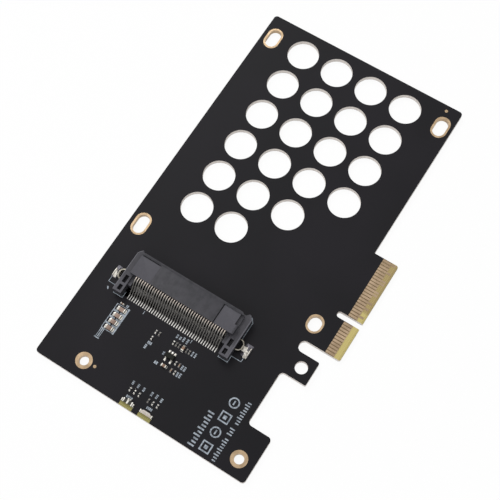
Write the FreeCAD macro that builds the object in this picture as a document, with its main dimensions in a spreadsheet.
"""Adapter card that carries a 2.5 inch solid-state drive in a four-lane expansion slot.

The card is one printed circuit board with a card-edge tongue, plated drive slots, a field of
round vent holes, a right-angle drive socket and a few small soldered parts.

Frame, in millimetres: the board lies flat with its underside at z = 0. +X runs along the board
from the bracket end to the far end, and -Y points to the card-edge tongue. The origin is under
the middle of the board's bounding box. Board sketches start at the corner where the bracket end
meets the line of the tongue's tip, so every sketched coordinate counts up from there.
"""
import FreeCAD, Part
import os
import re
import Sketcher

# Driving sizes
SIZES = {
    # Board and its skin
    "board_thickness": 1.6,
    "skin_thickness": 0.04,
    # Board outline, in order along the tongue side from the bracket end
    "tail_length": 15.05,
    "bracket_notch_width": 18.2,
    "tab_width": 8.0,
    "relief_slot_width": 3.65,
    "short_tongue_length": 11.2,
    "key_notch_width": 1.9,
    "long_tongue_length": 21.2,
    "far_margin": 7.91,
    # Board outline, across from the tongue's tip
    "tongue_reach": 8.25,
    "outer_edge_inset": 4.6,
    "bracket_notch_depth": 8.2,
    "relief_slot_depth": 8.0,
    "key_notch_depth": 8.08,
    "shoulder_margin": 3.69,
    "side_margin": 3.9,
    # Corner radii and the tongue's bevel
    "board_corner_radius": 1.1,
    "tab_corner_radius": 0.5,
    "notch_corner_radius": 1.3,
    "relief_corner_radius": 1.7,
    "tongue_corner_radius": 0.6,
    "bevel_length": 0.65,
    "bevel_depth": 0.3,
    # Card-edge contacts
    "edge_pitch": 1.0,
    "edge_contact_width": 0.7,
    "edge_contact_length": 3.02,
    "edge_ground_length": 4.3,
    "edge_zone_depth": 5.02,
    "edge_end_margin": 0.6,
    # Slots for the drive's bottom screws
    "drive_spacing_along": 76.6,
    "drive_spacing_across": 61.72,
    "drive_slot_start": 5.0,
    "drive_slot_width": 3.9,
    "drive_slot_length": 6.45,
    "short_slot_length": 4.8,
    "slot_ring_width": 0.62,
    # Holes for the slot bracket and the retaining tab
    "bracket_hole_diameter": 3.0,
    "bracket_ring_width": 1.1,
    "bracket_hole_inset": 5.25,
    "bracket_hole_offset": 4.85,
    "bracket_hole_spacing": 54.07,
    "tab_hole_diameter": 3.9,
    "tab_hole_inset": 3.8,
    # Vent holes
    "vent_diameter": 10.2,
    "vent_pitch": 12.54,
    "vent_far_margin": 8.16,
    "vent_side_margin": 15.46,
    # Drive socket moulding
    "socket_setback": 8.59,
    "socket_offset": 5.14,
    "body_depth": 7.31,
    "body_height": 5.3,
    "arm_width": 2.2,
    "arm_height": 3.35,
    "arm_reach": 0.86,
    "arm_tip_chamfer": 1.3,
    "arm_tip_width": 0.5,
    "arm_tip_inset": 0.7,
    "end_block_length": 6.6,
    "end_block_width": 3.0,
    "well_width": 1.2,
    "well_wall": 0.66,
    "well_depth": 2.2,
    "rear_well_inset": 0.62,
    "rear_well_length": 1.85,
    "front_well_length": 2.5,
    "well_gap": 0.8,
    "shoulder_step_width": 0.9,
    "shoulder_step_length": 2.5,
    "shoulder_step_height": 2.9,
    "block_corner_radius": 1.5,
    "recess_depth": 0.4,
    "recess_width": 6.55,
    "recess_front_rim": 0.78,
    "recess_side_rim": 0.45,
    "key_cut_width": 1.15,
    "key_cut_length": 3.6,
    "key_cut_depth": 1.1,
    # Mouth of the drive socket
    "mouth_end_margin": 1.15,
    "mouth_wall": 0.9,
    "mouth_height": 1.45,
    "mouth_floor": 1.95,
    "mouth_depth": 5.2,
    "mouth_key_width": 0.9,
    "mouth_key_drop": 0.9,
    "mouth_lip": 0.8,
    # Socket contacts
    "contact_width": 0.36,
    "contact_thickness": 0.2,
    "contact_clearance": 0.03,
    "fine_pitch": 0.8,
    "coarse_pitch": 1.27,
    "upper_level": 4.45,
    "upper_tail_reach": 6.4,
    "upper_foot_length": 1.45,
    "upper_heel_run": 0.7,
    "upper_heel_rise": 0.8,
    "upper_slope_run": 2.65,
    "upper_slope_rise": 3.2,
    "upper_bend_run": 0.55,
    "lower_bite": 0.1,
    "lower_tail_reach": 2.3,
    "lower_foot_length": 1.0,
    "lower_slope_run": 0.6,
    "beam_start": 0.3,
    "beam_run": 2.9,
    "beam_bite": 0.1,
    "beam_tip_run": 0.9,
    "beam_tip_rise": 0.45,
    # Hold-downs at the ends of the socket
    "hold_down_start": 3.9,
    "hold_down_length": 3.6,
    "hold_down_depth": 1.75,
    "hold_down_height": 1.6,
    "hold_down_sheet": 0.3,
    "hold_down_leg": 0.65,
    "hold_down_slant": 0.85,
    "waist_inset": 0.85,
    "waist_length": 1.1,
    "anchor_overhang": 0.1,
    "anchor_depth": 1.2,
    "anchor_height": 0.6,
    # Chip sizes: small, medium and large
    "small_length": 1.0,
    "small_width": 0.5,
    "small_height": 0.35,
    "small_cap": 0.25,
    "medium_length": 1.6,
    "medium_width": 0.85,
    "medium_height": 0.8,
    "medium_cap": 0.35,
    "large_length": 2.2,
    "large_width": 1.3,
    "large_height": 0.65,
    "large_cap": 0.3,
    "chip_step": 0.02,
    # Chip places, behind the socket and towards the tongue from its middle
    "first_row": 3.65,
    "second_row": 5.85,
    "third_row": 8.5,
    "fourth_row": 11.05,
    "near_column": 2.41,
    "near_column_pitch": 1.25,
    "middle_column": 3.89,
    "middle_column_pitch": 0.97,
    "capacitor_column": 7.24,
    "outer_column": 7.84,
    "outer_column_pitch": 1.26,
    "end_column": 8.49,
    "ladder_row": 3.5,
    "ladder_pitch": 2.2,
    "ladder_column": 14.9,
    "ladder_resistor_row": 1.8,
    "ladder_resistor_column": 15.9,
    # Regulator
    "regulator_row": 7.75,
    "regulator_column": 5.33,
    "regulator_length": 2.9,
    "regulator_width": 1.6,
    "regulator_height": 1.1,
    "regulator_standoff": 0.1,
    "regulator_waist": 0.55,
    "regulator_draft": 0.1,
    "lead_pitch": 0.95,
    "lead_width": 0.4,
    "lead_thickness": 0.15,
    "lead_reach": 0.6,
    "lead_foot": 0.35,
    "lead_slope_run": 0.15,
    # Lamps at the bracket end
    "lamp_inset": 1.3,
    "lamp_column": 2.5,
    "lamp_spacing": 6.4,
    "lamp_length": 3.4,
    "lamp_depth": 0.7,
    "lamp_dome": 0.45,
    "lamp_shoulder": 0.68,
    "lamp_height": 0.8,
    "lamp_terminal": 0.4,
    "lamp_terminal_pitch": 0.6,
    "lamp_terminal_depth": 0.95,
    "lamp_terminal_height": 0.6,
    "window_width": 4.35,
    "window_depth": 1.35,
    "lamp_resistor_inset": 5.4,
    "lamp_resistor_pitch": 1.57,
}

# Places worked out from the driving sizes
PLACES = {
    "notch_end": "tail_length + bracket_notch_width",
    "tab_end": "notch_end + tab_width",
    "short_tongue_start": "tab_end + relief_slot_width",
    "key_notch_start": "short_tongue_start + short_tongue_length",
    "long_tongue_start": "key_notch_start + key_notch_width",
    "long_tongue_end": "long_tongue_start + long_tongue_length",
    "key_notch_middle": "key_notch_start + key_notch_width / 2",
    "rear_slot_along": "short_tongue_start + drive_slot_start",
    "far_slot_along": "rear_slot_along + drive_spacing_along",
    "short_slot_along": "rear_slot_along + (drive_slot_length - short_slot_length) / 2",
    "board_length": "far_slot_along + far_margin",
    "near_slot_across": "tongue_reach + shoulder_margin",
    "side_slot_across": "near_slot_across + drive_spacing_across",
    "board_width": "side_slot_across + side_margin",
    "origin_along": "-board_length / 2",
    "origin_across": "-board_width / 2",
    "notch_inner_edge": "outer_edge_inset + bracket_notch_depth",
    "relief_inner_edge": "outer_edge_inset + relief_slot_depth",
    "near_hole_across": "outer_edge_inset + bracket_hole_offset",
    "side_hole_across": "near_hole_across + bracket_hole_spacing",
    "board_top": "board_thickness",
    "contact_row_width": "max(39 * fine_pitch; 25 * coarse_pitch) + contact_width",
    "mouth_width": "contact_row_width + 2 * mouth_end_margin",
    "socket_width": "mouth_width + 2 * mouth_wall + 2 * arm_width",
    "socket_length": "end_block_length + body_depth + arm_reach",
    "socket_along": "rear_slot_along - socket_setback - body_depth - end_block_length",
    "socket_middle": "(near_slot_across + side_slot_across) / 2 + socket_offset",
    "socket_across": "socket_middle - socket_width / 2",
    "body_front": "end_block_length + body_depth",
    "mouth_roof": "mouth_floor + mouth_height",
    "mouth_back": "body_front - mouth_depth",
    "mouth_side": "(socket_width - mouth_width) / 2",
    "groove_width": "contact_width + 2 * contact_clearance",
    "groove_front": "body_front - mouth_lip",
    "lower_level": "mouth_floor + lower_bite - contact_thickness",
    "upper_row_start": "socket_width / 2 - 19.5 * fine_pitch - contact_width / 2",
    "lower_row_start": "socket_width / 2 - 12.5 * coarse_pitch - contact_width / 2",
    "lower_fine_start": "socket_width / 2 - 4 * coarse_pitch - 2.5 * fine_pitch - contact_width / 2",
    "lower_end_start": "socket_width / 2 - 1.5 * coarse_pitch - contact_width / 2",
    "upper_tail_along": "socket_along + end_block_length - upper_tail_reach",
    "lower_tail_along": "socket_along + end_block_length - lower_tail_reach",
    "left_lamp_across": "socket_middle - lamp_column",
    "right_lamp_across": "left_lamp_across - lamp_spacing",
}

VENT_ROWS = (4, 4, 4, 4, 3, 2)
SHORT_EDGE_CONTACTS = 11
LONG_EDGE_CONTACTS = 21
GROUND_PINS = (13, 16, 18, 21, 22, 25, 26, 29, 32)
UPPER_CONTACTS = 40
LOWER_ROWS = (("lower_row_start", 7, "coarse_pitch"),
              ("lower_fine_start", 6, "fine_pitch"),
              ("lower_end_start", 15, "coarse_pitch"))
LADDER_CAPACITORS = 4
VECTOR = FreeCAD.Vector

document = FreeCAD.newDocument("adapter_card")


def cell_formula(formula):
    """Return the formula with each named size written as the cell that holds it."""
    def cell(match):
        word = match.group(0)
        if word in SIZES:
            return "Sizes." + word
        return "Places." + word if word in PLACES else word
    return re.sub("[a-z_]+", cell, formula)


def make_sheets():
    """Write the driving sizes as plain numbers and the places as formulas on them."""
    sizes = document.addObject("Spreadsheet::Sheet", "Sizes")
    places = document.addObject("Spreadsheet::Sheet", "Places")
    for row, (name, size) in enumerate(SIZES.items(), 1):
        sizes.set("A%d" % row, name)
        sizes.set("B%d" % row, str(size))
        sizes.setAlias("B%d" % row, name)
    for row, (name, formula) in enumerate(PLACES.items(), 1):
        places.set("A%d" % row, name)
        places.setAlias("B%d" % row, name)
    for row, formula in enumerate(PLACES.values(), 1):
        places.set("B%d" % row, "=" + cell_formula(formula))
    document.recompute()
    return sizes


sheet = make_sheets()


def number(formula):
    """Return the present number of a formula."""
    return float(sheet.evalExpression(cell_formula(formula)))


def bind(item, name, formula):
    """Bind one property of an object to a formula on the sheets."""
    item.setExpression(name, cell_formula(formula))


def place(item, along, across, height):
    """Bind the place of an object, given from the corner where board sketches start."""
    bind(item, "Placement.Base.x", "origin_along + " + along)
    bind(item, "Placement.Base.y", "origin_across + " + across)
    bind(item, "Placement.Base.z", height)


def new_body(label, along="0", across="0", height="0"):
    """Return an empty body at its place."""
    body = document.addObject("PartDesign::Body", label)
    place(body, along, across, height)
    return body


def new_sketch(body, name, role="XY_Plane", offset="0"):
    """Return a sketch on one of the body's own planes, moved along its normal by the offset."""
    sketch = body.newObject("Sketcher::SketchObject", name)
    plane = [feature for feature in body.Origin.OriginFeatures if feature.Role == role][0]
    sketch.AttachmentSupport = (plane, [""])
    sketch.MapMode = "FlatFace"
    if offset != "0":
        bind(sketch, "AttachmentOffset.Base.z", offset)
    return sketch


def pin_point(sketch, edge, end, x, y):
    """Hold one point of an edge at the two formulas."""
    for formula, kind, axis in ((x, "DistanceX", -2), (y, "DistanceY", -1)):
        if formula == "0":
            sketch.addConstraint(Sketcher.Constraint("PointOnObject", edge, end, axis))
        else:
            index = sketch.addConstraint(Sketcher.Constraint(kind, edge, end, number(formula)))
            bind(sketch, "Constraints[%d]" % index, formula)


def draw_polygon(sketch, points):
    """Draw a closed outline through points given as pairs of formulas."""
    corners = [VECTOR(number(x), number(y), 0) for x, y in points]
    edges = []
    for index, corner in enumerate(corners):
        following = corners[(index + 1) % len(corners)]
        edges.append(sketch.addGeometry(Part.LineSegment(corner, following), False))
    for index, edge in enumerate(edges):
        following = edges[(index + 1) % len(edges)]
        sketch.addConstraint(Sketcher.Constraint("Coincident", edge, 2, following, 1))
        pin_point(sketch, edge, 1, *points[index])


def draw_rectangle(sketch, x, y, length, width):
    """Draw a rectangle from its lower left corner."""
    right = "%s + %s" % (x, length)
    top = "%s + %s" % (y, width)
    draw_polygon(sketch, ((x, y), (right, y), (right, top), (x, top)))


def draw_circle(sketch, x, y, diameter):
    """Draw a circle round its centre."""
    centre = VECTOR(number(x), number(y), 0)
    edge = sketch.addGeometry(Part.Circle(centre, VECTOR(0, 0, 1), number(diameter) / 2), False)
    pin_point(sketch, edge, 3, x, y)
    index = sketch.addConstraint(Sketcher.Constraint("Diameter", edge, number(diameter)))
    bind(sketch, "Constraints[%d]" % index, diameter)


def draw_slot(sketch, x, y, length, width):
    """Draw a round-ended slot round its centre, with its length along the sketch's x."""
    radius = number(width) / 2
    half = number(length) / 2 - radius
    middle = VECTOR(number(x), number(y), 0)
    reach = VECTOR(half, 0, 0)
    side = VECTOR(0, radius, 0)
    normal = VECTOR(0, 0, 1)
    quarter = 1.5707963267948966
    left_round = Part.Circle(middle - reach, normal, radius)
    right_round = Part.Circle(middle + reach, normal, radius)
    left = sketch.addGeometry(Part.ArcOfCircle(left_round, quarter, 3 * quarter), False)
    right = sketch.addGeometry(Part.ArcOfCircle(right_round, -quarter, quarter), False)
    lower = sketch.addGeometry(Part.LineSegment(middle - reach - side, middle + reach - side), False)
    upper = sketch.addGeometry(Part.LineSegment(middle + reach + side, middle - reach + side), False)
    for first, second in ((left, lower), (lower, right), (right, upper), (upper, left)):
        sketch.addConstraint(Sketcher.Constraint("Tangent", first, 2, second, 1))
    half_formula = "(%s - (%s)) / 2" % (length, width)
    pin_point(sketch, left, 3, "%s - %s" % (x, half_formula), y)
    pin_point(sketch, right, 3, "%s + %s" % (x, half_formula), y)
    sketch.addConstraint(Sketcher.Constraint("Equal", left, right))
    index = sketch.addConstraint(Sketcher.Constraint("Radius", left, radius))
    bind(sketch, "Constraints[%d]" % index, "(%s) / 2" % width)


def pad(body, name, sketch, length, reverse=False):
    """Raise the sketch into a solid along its normal, or against it."""
    feature = body.newObject("PartDesign::Pad", name)
    feature.Profile = sketch
    feature.Reversed = reverse
    bind(feature, "Length", length)
    body.Tip = feature
    return feature


def pocket(body, name, sketch, depth, reverse=False):
    """Cut the sketch into the body against the sketch's normal, or along it."""
    feature = body.newObject("PartDesign::Pocket", name)
    feature.Profile = sketch
    feature.Reversed = reverse
    bind(feature, "Length", depth)
    body.Tip = feature
    return feature


def repeat_row(body, name, feature, count, pitch, role="Y_Axis"):
    """Repeat a feature in a straight row."""
    row = body.newObject("PartDesign::LinearPattern", name)
    row.Originals = [feature]
    axis = [item for item in body.Origin.OriginFeatures if item.Role == role][0]
    row.Direction = (axis, [""])
    row.Occurrences = count
    row.Mode = "Spacing"
    bind(row, "Offset", pitch)
    body.Tip = row
    return row


def round_corners(body, name, corners, radius, lowest="0"):
    """Round the upright edges of the body that stand at the corners, from a lowest height up."""
    document.recompute()
    base = body.Tip
    names = []
    for x, y in corners:
        corner = VECTOR(number(x), number(y), 0)
        floor = number(lowest) - 0.001
        for index, edge in enumerate(base.Shape.Edges, 1):
            start, end = edge.Vertexes[0].Point, edge.Vertexes[-1].Point
            flat = [VECTOR(point.x, point.y, 0) for point in (start, end)]
            upright = abs(start.z - end.z) > 0.01 and min(start.z, end.z) > floor
            if upright and all(point.distanceToPoint(corner) < 0.001 for point in flat):
                names.append("Edge%d" % index)
    fillet = body.newObject("PartDesign::Fillet", name)
    fillet.Base = (base, names)
    bind(fillet, "Radius", radius)
    body.Tip = fillet


def ribbon(path, thickness):
    """Return the outline of a strip bent along a path, which is its underside.

    Each bend is mitred: the upper point lies square to the middle of the two directions.
    """
    turns = []
    for (x, y), (next_x, next_y) in zip(path, path[1:]):
        turns.append("atan2(%s - (%s); %s - (%s))" % (next_y, y, next_x, x))
    upper = []
    for index, (x, y) in enumerate(path):
        before = turns[max(index - 1, 0)]
        after = turns[min(index, len(turns) - 1)]
        mean = "((%s + %s) / 2)" % (before, after)
        reach = "%s / cos((%s - %s) / 2)" % (thickness, after, before)
        upper.append(("%s - %s * sin(%s)" % (x, reach, mean), "%s + %s * cos(%s)" % (y, reach, mean)))
    return list(path) + upper[::-1]


def box(name, along, across, height, long, wide, high):
    """Return a block from its corner, with its sizes and place bound to formulas."""
    block = document.addObject("Part::Box", name)
    for side, formula in (("Length", long), ("Width", wide), ("Height", high)):
        bind(block, side, formula)
    place(block, along, across, height)
    return block


def group(label, members):
    """Return one node that holds several separate solids."""
    compound = document.addObject("Part::Compound", label)
    compound.Links = members
    return compound


def drive_slots():
    """Return the four drive slots as centre and length, the short one last."""
    rear, far = "rear_slot_along", "far_slot_along"
    near, side = "near_slot_across", "side_slot_across"
    return ((far, near, "drive_slot_length"), (far, side, "drive_slot_length"),
            (rear, side, "drive_slot_length"), ("short_slot_along", near, "short_slot_length"))


def bracket_holes():
    """Return the centres of the two bracket holes."""
    return (("bracket_hole_inset", "near_hole_across"), ("bracket_hole_inset", "side_hole_across"))


def draw_slot_set(sketch, extra):
    """Draw the four drive slots, each wider and longer by the extra."""
    for x, y, length in drive_slots():
        draw_slot(sketch, x, y, "%s + %s" % (length, extra), "drive_slot_width + " + extra)


def draw_hole_set(sketch, extra):
    """Draw the two bracket holes, each wider by the extra."""
    for x, y in bracket_holes():
        draw_circle(sketch, x, y, "bracket_hole_diameter + " + extra)


def draw_lamp_window(sketch, middle):
    """Draw the bare strip of laminate between a lamp and the board's end."""
    draw_rectangle(sketch, "0", middle + " - window_width / 2", "window_depth", "window_width")


def make_circuit_board():
    """The laminate, with its skin of solder mask left off where the metal lies flush."""
    body = new_body("circuit_board")
    outline = new_sketch(body, "board_outline")
    corners = (("0", "outer_edge_inset"),
               ("tail_length", "outer_edge_inset"),
               ("tail_length", "notch_inner_edge"),
               ("notch_end", "notch_inner_edge"),
               ("notch_end", "outer_edge_inset"),
               ("tab_end", "outer_edge_inset"),
               ("tab_end", "relief_inner_edge"),
               ("short_tongue_start", "relief_inner_edge"),
               ("short_tongue_start", "0"),
               ("long_tongue_end", "0"),
               ("long_tongue_end", "tongue_reach"),
               ("board_length", "tongue_reach"),
               ("board_length", "board_width"),
               ("0", "board_width"))
    draw_polygon(outline, corners)
    pad(body, "laminate", outline, "board_thickness")
    round_corners(body, "board_corners", corners[:2] + corners[11:], "board_corner_radius")
    round_corners(body, "notch_corners", corners[2:4], "notch_corner_radius")
    round_corners(body, "tab_corners", corners[4:6], "tab_corner_radius")
    round_corners(body, "relief_slot_end", corners[6:8], "relief_corner_radius")
    round_corners(body, "tongue_corners", corners[8:10], "tongue_corner_radius")

    channel = new_sketch(body, "key_notch_outline")
    straight = "key_notch_depth - key_notch_width / 2"
    draw_rectangle(channel, "key_notch_start", "0", "key_notch_width", straight)
    pocket(body, "key_notch", channel, "board_thickness", reverse=True)
    end = new_sketch(body, "key_notch_end_outline")
    draw_circle(end, "key_notch_middle", straight, "key_notch_width")
    pocket(body, "key_notch_end", end, "board_thickness", reverse=True)

    bevel = new_sketch(body, "bevel_outline", "YZ_Plane")
    draw_polygon(bevel, (("0", "0"), ("bevel_length", "0"), ("0", "bevel_depth")))
    draw_polygon(bevel, (("0", "board_thickness"), ("0", "board_thickness - bevel_depth"),
                         ("bevel_length", "board_thickness")))
    pocket(body, "tongue_bevel", bevel, "board_length", reverse=True)

    holes = new_sketch(body, "hole_outlines")
    draw_slot_set(holes, "2 * slot_ring_width")
    draw_hole_set(holes, "2 * bracket_ring_width")
    draw_circle(holes, "notch_end + tab_width / 2", "outer_edge_inset + tab_hole_inset", "tab_hole_diameter")
    pocket(body, "screw_holes", holes, "board_thickness", reverse=True)

    vents = new_sketch(body, "vent_outlines")
    for row, count in enumerate(VENT_ROWS):
        for column in range(count):
            draw_circle(vents, "board_length - vent_far_margin - %d * vent_pitch" % row,
                        "board_width - vent_side_margin - %d * vent_pitch" % column, "vent_diameter")
    pocket(body, "vent_holes", vents, "board_thickness", reverse=True)

    tongue_length = "long_tongue_end - short_tongue_start"
    for side, offset, upward in (("lower", "0", True), ("upper", "board_thickness", False)):
        bare = new_sketch(body, side + "_bare_outline", offset=offset)
        draw_rectangle(bare, "short_tongue_start", "0", tongue_length, "edge_zone_depth")
        if side == "upper":
            for middle in ("left_lamp_across", "right_lamp_across"):
                draw_lamp_window(bare, middle)
        pocket(body, side + "_bare_laminate", bare, "skin_thickness", reverse=upward)
    return body


def make_edge_contacts(label, height):
    """One side's row of gold contacts, flush with the mask; ground contacts reach further out."""
    blocks = []
    last_short = "key_notch_start - edge_end_margin"
    first_long = "long_tongue_start + edge_end_margin"
    for pin in range(1, SHORT_EDGE_CONTACTS + LONG_EDGE_CONTACTS + 1):
        if pin <= SHORT_EDGE_CONTACTS:
            middle = "%s - %d * edge_pitch" % (last_short, SHORT_EDGE_CONTACTS - pin)
        else:
            middle = "%s + %d * edge_pitch" % (first_long, pin - SHORT_EDGE_CONTACTS - 1)
        length = "edge_ground_length" if pin in GROUND_PINS else "edge_contact_length"
        blocks.append(box("%s_%d" % (label, pin), middle + " - edge_contact_width / 2",
                          "edge_zone_depth - " + length, height,
                          "edge_contact_width", length, "skin_thickness"))
    return group(label, blocks)


def make_plating(label, draw_set, ring_width):
    """The plating round a set of slots or holes, from each bore out to its ring's edge."""
    body = new_body(label)
    outline = new_sketch(body, "ring_outlines")
    draw_set(outline, "2 * " + ring_width)
    draw_set(outline, "0")
    pad(body, "rings", outline, "board_thickness")
    return body


def make_socket_housing():
    """The moulded drive socket: a comb-lined mouth between two guide arms, with end blocks behind."""
    body = new_body("drive_socket_housing", "socket_along", "socket_across", "board_top")
    plan = new_sketch(body, "plan_outline")
    right = (("0", "0"),
             ("socket_length - arm_tip_chamfer", "0"),
             ("socket_length", "arm_width - arm_tip_inset - arm_tip_width"),
             ("socket_length", "arm_width - arm_tip_inset"),
             ("body_front", "arm_width"))
    step_end = "end_block_length - shoulder_step_length"
    rear_right = (("end_block_length", "end_block_width + shoulder_step_width"),
                  (step_end, "end_block_width + shoulder_step_width"),
                  (step_end, "end_block_width"),
                  ("0", "end_block_width"))
    left = [(x, "socket_width - (%s)" % y if y != "0" else "socket_width") for x, y in right[::-1]]
    rear_left = [(x, "socket_width - (%s)" % y) for x, y in rear_right[::-1]]
    draw_polygon(plan, list(right) + left + rear_left + list(rear_right))
    pad(body, "base_moulding", plan, "arm_height")

    block = new_sketch(body, "block_outline")
    block_width = "mouth_width + 2 * mouth_wall"
    draw_rectangle(block, "end_block_length", "arm_width", "body_depth", block_width)
    pad(body, "upper_block", block, "body_height")
    round_corners(body, "block_corner", (("body_front", "arm_width"),), "block_corner_radius", "arm_height")

    shoulders = new_sketch(body, "shoulder_outline", offset="arm_height")
    for side in ("end_block_width", "socket_width - end_block_width - shoulder_step_width"):
        draw_rectangle(shoulders, step_end, side, "shoulder_step_length", "shoulder_step_width")
    pocket(body, "shoulder_steps", shoulders, "arm_height - shoulder_step_height")

    recesses = new_sketch(body, "recess_outline", offset="body_height")
    recess_length = "body_depth - recess_front_rim"
    right_recess = "arm_width + recess_side_rim"
    left_recess = "socket_width - arm_width - recess_side_rim - recess_width"
    for side in (right_recess, left_recess):
        draw_rectangle(recesses, "end_block_length", side, recess_length, "recess_width")
    pocket(body, "top_recesses", recesses, "recess_depth")

    key_cut = new_sketch(body, "key_cut_outline", offset="body_height")
    key_cut_end = "body_front - recess_front_rim - key_cut_length"
    draw_rectangle(key_cut, key_cut_end, "arm_width", "key_cut_length", "key_cut_width")
    pocket(body, "key_cut", key_cut, "key_cut_depth")

    wells = new_sketch(body, "well_outline", offset="arm_height")
    front_well = "rear_well_inset + rear_well_length + well_gap"
    well_side = "end_block_width - well_wall - well_width"
    for side in (well_side, "socket_width - end_block_width + well_wall"):
        draw_rectangle(wells, "rear_well_inset", side, "rear_well_length", "well_width")
        draw_rectangle(wells, front_well, side, "front_well_length", "well_width")
    pocket(body, "end_block_wells", wells, "well_depth")

    mouth = new_sketch(body, "mouth_outline", "YZ_Plane", offset="body_front")
    mouth_end = "mouth_side + mouth_width"
    key_floor = "mouth_floor - mouth_key_drop"
    draw_polygon(mouth, (("mouth_side", key_floor),
                         ("mouth_side + mouth_key_width", key_floor),
                         ("mouth_side + mouth_key_width", "mouth_floor"),
                         (mouth_end + " - mouth_key_width", "mouth_floor"),
                         (mouth_end + " - mouth_key_width", key_floor),
                         (mouth_end, key_floor),
                         (mouth_end, "mouth_roof"),
                         ("mouth_side", "mouth_roof")))
    pocket(body, "mouth", mouth, "mouth_depth")

    upper_top = "upper_level + contact_thickness"
    upper_comb = new_sketch(body, "upper_comb_outline", "XZ_Plane", "contact_clearance - upper_row_start")
    draw_polygon(upper_comb, (("end_block_length", "upper_level"),
                              ("mouth_back", "upper_level"),
                              ("mouth_back", "mouth_roof"),
                              ("groove_front", "mouth_roof"),
                              ("groove_front", upper_top),
                              ("end_block_length", upper_top)))
    cut = pocket(body, "upper_comb_gap", upper_comb, "groove_width")
    repeat_row(body, "upper_comb", cut, UPPER_CONTACTS, "fine_pitch")

    reach = "groove_front - end_block_length"
    for start, count, pitch in LOWER_ROWS:
        comb = new_sketch(body, start + "_outline", "XZ_Plane", "contact_clearance - " + start)
        draw_rectangle(comb, "end_block_length", "lower_level", reach, "contact_thickness")
        cut = pocket(body, start + "_gap", comb, "groove_width")
        repeat_row(body, start + "_comb", cut, count, pitch)
    return body


def make_upper_contacts():
    """The curtain of formed contacts that leaves the socket's rear and drops to the board."""
    body = new_body("upper_contacts", "upper_tail_along", "socket_across + upper_row_start", "board_top")
    heel = "upper_foot_length + upper_heel_run"
    slope_end = heel + " + upper_slope_run"
    path = [("0", "0"), ("upper_foot_length", "0"), (heel, "upper_heel_rise"),
            (slope_end, "upper_heel_rise + upper_slope_rise"),
            (slope_end + " + upper_bend_run", "upper_level")]
    beam = "upper_tail_reach + body_depth - mouth_depth + beam_start"
    tip = beam + " + beam_run"
    path += [(beam, "upper_level"), (tip, "mouth_roof - beam_bite"),
             (tip + " + beam_tip_run", "mouth_roof - beam_bite + beam_tip_rise")]
    side = new_sketch(body, "side_outline", "XZ_Plane")
    draw_polygon(side, ribbon(path, "contact_thickness"))
    strip = pad(body, "formed_strip", side, "contact_width", reverse=True)
    repeat_row(body, "contact_row", strip, UPPER_CONTACTS, "fine_pitch")
    return body


def make_lower_contacts():
    """The hidden row of contacts under the curtain, in three spacings."""
    body = new_body("lower_contacts", "lower_tail_along", "socket_across + lower_row_start", "board_top")
    path = [("0", "0"), ("lower_foot_length", "0"), ("lower_foot_length + lower_slope_run", "lower_level"),
            ("lower_tail_reach + body_depth - mouth_lip", "lower_level")]
    for start, count, pitch in LOWER_ROWS:
        offset = "0" if start == "lower_row_start" else "lower_row_start - " + start
        side = new_sketch(body, start + "_side_outline", "XZ_Plane", offset)
        draw_polygon(side, ribbon(path, "contact_thickness"))
        strip = pad(body, start + "_strip", side, "contact_width", reverse=True)
        repeat_row(body, start + "_row", strip, count, pitch)
    return body


def make_hold_down(label, side):
    """One sheet-metal hold-down: a bracket on the socket's arm, a waist and a soldered anchor."""
    reach = "(hold_down_depth + waist_length + anchor_depth)"
    edge = "socket_across - " + reach if side == "right" else "socket_across + socket_width"
    body = new_body(label, "socket_along + hold_down_start", edge, "board_top")

    def outward(points):
        if side == "left":
            return points
        return [(x, "%s - (%s)" % (reach, y) if y != "0" else reach) for x, y in points]

    inner = "hold_down_depth - hold_down_sheet"
    end = "hold_down_length - hold_down_sheet"
    path = [("hold_down_sheet", "0"), ("hold_down_sheet", "hold_down_leg"),
            ("hold_down_sheet + hold_down_slant", inner), (end + " - hold_down_slant", inner),
            (end, "hold_down_leg"), (end, "0")]
    bracket = new_sketch(body, "bracket_outline")
    draw_polygon(bracket, outward(ribbon(path, "hold_down_sheet")))
    pad(body, "bracket", bracket, "hold_down_height")

    anchor_side = "hold_down_depth + waist_length"
    foot = new_sketch(body, "foot_outline")
    waist = (("waist_inset", inner), ("hold_down_length - waist_inset", inner),
             ("hold_down_length - waist_inset", anchor_side), ("waist_inset", anchor_side))
    draw_polygon(foot, outward(waist))
    pad(body, "waist", foot, "hold_down_sheet")
    anchor = new_sketch(body, "anchor_outline")
    anchor_end = "hold_down_length + anchor_overhang"
    far_side = anchor_side + " + anchor_depth"
    plan = (("-anchor_overhang", anchor_side), (anchor_end, anchor_side),
            (anchor_end, far_side), ("-anchor_overhang", far_side))
    draw_polygon(anchor, outward(plan))
    pad(body, "anchor", anchor, "anchor_height")
    return body


def behind(row):
    """Return the place along the board of a row behind the socket."""
    return "socket_along - (%s)" % row


def towards_tongue(column):
    """Return the place across the board of a column on the tongue's side of the socket's middle."""
    return "socket_middle - (%s)" % column


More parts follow.
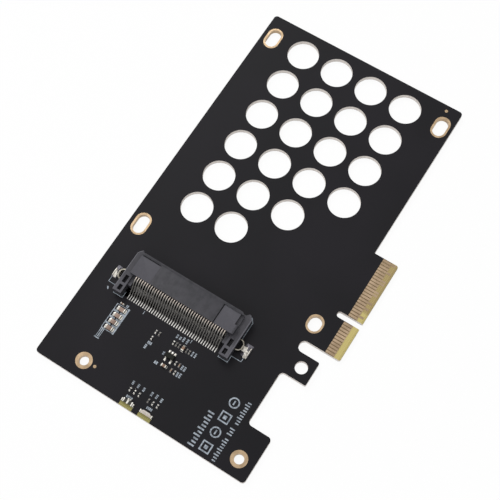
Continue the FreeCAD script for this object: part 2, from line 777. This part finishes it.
def chip_places():
    """Return every chip as kind, size, direction, place along and place across."""
    chips = []
    for index in range(3):
        column = "middle_column + %d * middle_column_pitch" % index
        chips.append(("resistor", "small", "along", behind("first_row"), towards_tongue(column)))
    for index in range(2):
        column = "end_column + %d * middle_column_pitch" % index
        chips.append(("resistor", "small", "along", behind("first_row"), towards_tongue(column)))
        column = "near_column_pitch * %d - near_column" % index
        chips.append(("resistor", "small", "along", behind("first_row"), towards_tongue(column)))
    chips.append(("resistor", "small", "along", behind("second_row"), towards_tongue("-near_column")))
    outer = "outer_column + outer_column_pitch"
    chips.append(("resistor", "small", "along", behind("third_row"), towards_tongue("outer_column")))
    chips.append(("resistor", "small", "along", behind("fourth_row"), towards_tongue(outer)))
    chips.append(("capacitor", "small", "along", behind("third_row"), towards_tongue(outer)))
    chips.append(("capacitor", "small", "along", behind("fourth_row"), towards_tongue("outer_column")))
    chips.append(("capacitor", "medium", "along", behind("first_row"), towards_tongue("capacitor_column")))
    chips.append(("capacitor", "medium", "across", behind("fourth_row"), towards_tongue("regulator_column")))
    column = "-ladder_resistor_column"
    chips.append(("capacitor", "small", "across", behind("ladder_resistor_row"), towards_tongue(column)))
    for index in range(LADDER_CAPACITORS):
        row = "ladder_row + %d * ladder_pitch" % index
        chips.append(("coupling_capacitor", "large", "across", behind(row), towards_tongue("-ladder_column")))
    for middle in ("left_lamp_across", "right_lamp_across"):
        for step in (-1, 0, 1):
            across = "%s - %d * lamp_resistor_pitch" % (middle, step)
            chips.append(("resistor", "small", "along", "lamp_resistor_inset", across))
    return chips


def chip_block(name, direction, centre, start, length, width, height, extent):
    """Return a block of a chip that lies along or across the board."""
    along, across = centre
    side = "(%s) / 2" % width
    if direction == "along":
        corner = ("%s + %s" % (along, start), "%s - %s" % (across, side))
        return box(name, *corner, height, length, width, extent)
    corner = ("%s - %s" % (along, side), "%s + %s" % (across, start))
    return box(name, *corner, height, width, length, extent)


def make_chips():
    """Each kind of chip as a body node and a terminal node."""
    bodies, terminals = {}, {}
    for index, (kind, size, direction, along, across) in enumerate(chip_places()):
        length, width, height, cap = [size + part for part in ("_length", "_width", "_height", "_cap")]
        centre = (along, across)
        name = "%s_%d" % (kind, index)
        bodies.setdefault(kind, []).append(
            chip_block(name, direction, centre, "%s - %s / 2" % (cap, length),
                       "%s - 2 * %s" % (length, cap), width + " - 2 * chip_step",
                       "board_top + chip_step", height + " - 2 * chip_step"))
        for end, start in (("start", "-%s / 2" % length), ("end", "%s / 2 - %s" % (length, cap))):
            terminals.setdefault(kind, []).append(
                chip_block("%s_%s" % (name, end), direction, centre, start, cap, width, "board_top", height))
    nodes = [group(kind + "_bodies", members) for kind, members in bodies.items()]
    nodes += [group(kind + "_terminals", members) for kind, members in terminals.items()]
    return nodes


def make_regulator():
    """The five-lead regulator: a drafted package and its gull-wing leads."""
    half_span = "regulator_width / 2 + lead_reach"
    rear, middle = behind("regulator_row"), towards_tongue("regulator_column")
    package = new_body("regulator_body", "%s - regulator_width / 2" % rear,
                       "%s - regulator_length / 2" % middle, "board_top + regulator_standoff")
    side = new_sketch(package, "package_section", "XZ_Plane")
    top = "regulator_height - regulator_standoff"
    inner = "regulator_width - regulator_draft"
    draw_polygon(side, (("regulator_draft", "0"), (inner, "0"), ("regulator_width", "regulator_waist"),
                        (inner, top), ("regulator_draft", top), ("0", "regulator_waist")))
    pad(package, "package", side, "regulator_length", reverse=True)

    leads = new_body("regulator_leads", "%s - (%s)" % (rear, half_span),
                     "%s - lead_pitch - lead_width / 2" % middle, "board_top")
    knee = "lead_foot + lead_slope_run"
    level = "regulator_standoff + regulator_waist - lead_thickness / 2"
    near_path = [("0", "0"), ("lead_foot", "0"), (knee, level), ("lead_reach", level)]
    span = "regulator_width + 2 * lead_reach"
    near = ribbon(near_path, "lead_thickness")
    far = [(span if x == "0" else "%s - (%s)" % (span, x), y) for x, y in near[::-1]]
    for name, outline, count, pitch in (("two", near, 2, "2 * lead_pitch"), ("three", far, 3, "lead_pitch")):
        sketch = new_sketch(leads, name + "_lead_outline", "XZ_Plane")
        draw_polygon(sketch, outline)
        lead = pad(leads, name + "_lead", sketch, "lead_width", reverse=True)
        repeat_row(leads, name + "_leads", lead, count, pitch)

    return [package, leads]


def make_lamp(side, rear_terminals):
    """One side-shining lamp: a domed case with terminals at its ends, and some behind it."""
    corner = side + "_lamp_across - lamp_length / 2"
    back = "lamp_depth + lamp_dome"
    case = new_body(side + "_lamp_case", "lamp_inset", corner, "board_top")
    plan = new_sketch(case, "case_outline")
    draw_polygon(plan, (("0", "0"), ("lamp_depth", "0"), (back, "lamp_shoulder"),
                        (back, "lamp_length - lamp_shoulder"), ("lamp_depth", "lamp_length"),
                        ("0", "lamp_length")))
    pad(case, "case", plan, "lamp_height")

    places = [("lamp_inset", "%s - lamp_terminal" % corner), ("lamp_inset", "%s + lamp_length" % corner)]
    for index in range(rear_terminals):
        step = "%s_lamp_across + (%d - 0.5) * lamp_terminal_pitch - lamp_terminal / 2" % (side, index)
        places.append(("lamp_inset + " + back, step))
    terminals = []
    for index, (along, across) in enumerate(places):
        depth = "lamp_terminal_depth" if index < 2 else "lamp_terminal"
        terminals.append(box("%s_lamp_terminal_%d" % (side, index), along, across, "board_top",
                             depth, "lamp_terminal", "lamp_terminal_height"))
    return [case, group(side + "_lamp_terminals", terminals)]


def make_nodes():
    """Build every piece and return the nodes of the card."""
    nodes = [make_circuit_board(),
             make_edge_contacts("edge_contacts_top", "board_thickness - skin_thickness"),
             make_edge_contacts("edge_contacts_bottom", "0"),
             make_plating("drive_slot_plating", draw_slot_set, "slot_ring_width"),
             make_plating("bracket_hole_plating", draw_hole_set, "bracket_ring_width"),
             make_socket_housing(),
             make_upper_contacts(),
             make_lower_contacts(),
             make_hold_down("left_hold_down", "left"),
             make_hold_down("right_hold_down", "right")]
    nodes += make_chips() + make_regulator()
    nodes += make_lamp("left", 2) + make_lamp("right", 0)
    return nodes


def check_document(nodes):
    """Stop at any object that failed, any cut that removed nothing and any bad shape."""
    for item in document.Objects:
        if "Invalid" in item.State or "Error" in item.State:
            raise RuntimeError("%s failed" % item.Label)
        if item.TypeId == "PartDesign::Pocket" and item.BaseFeature.Shape.Volume - item.Shape.Volume < 1e-6:
            raise RuntimeError("%s cut nothing" % item.Label)
    for node in nodes:
        if node.Shape.isNull() or not node.Shape.isValid():
            raise RuntimeError("%s has no valid shape" % node.Label)


def write_steps(nodes):
    """Write each node's shape to its own file."""
    os.makedirs("parts", exist_ok=True)
    for node in nodes:
        node.Shape.exportStep("parts/%s.step" % node.Label)
        print(node.Label, len(node.Shape.Solids), round(node.Shape.Volume, 2))


node_list = make_nodes()
document.recompute()
check_document(node_list)
write_steps(node_list)
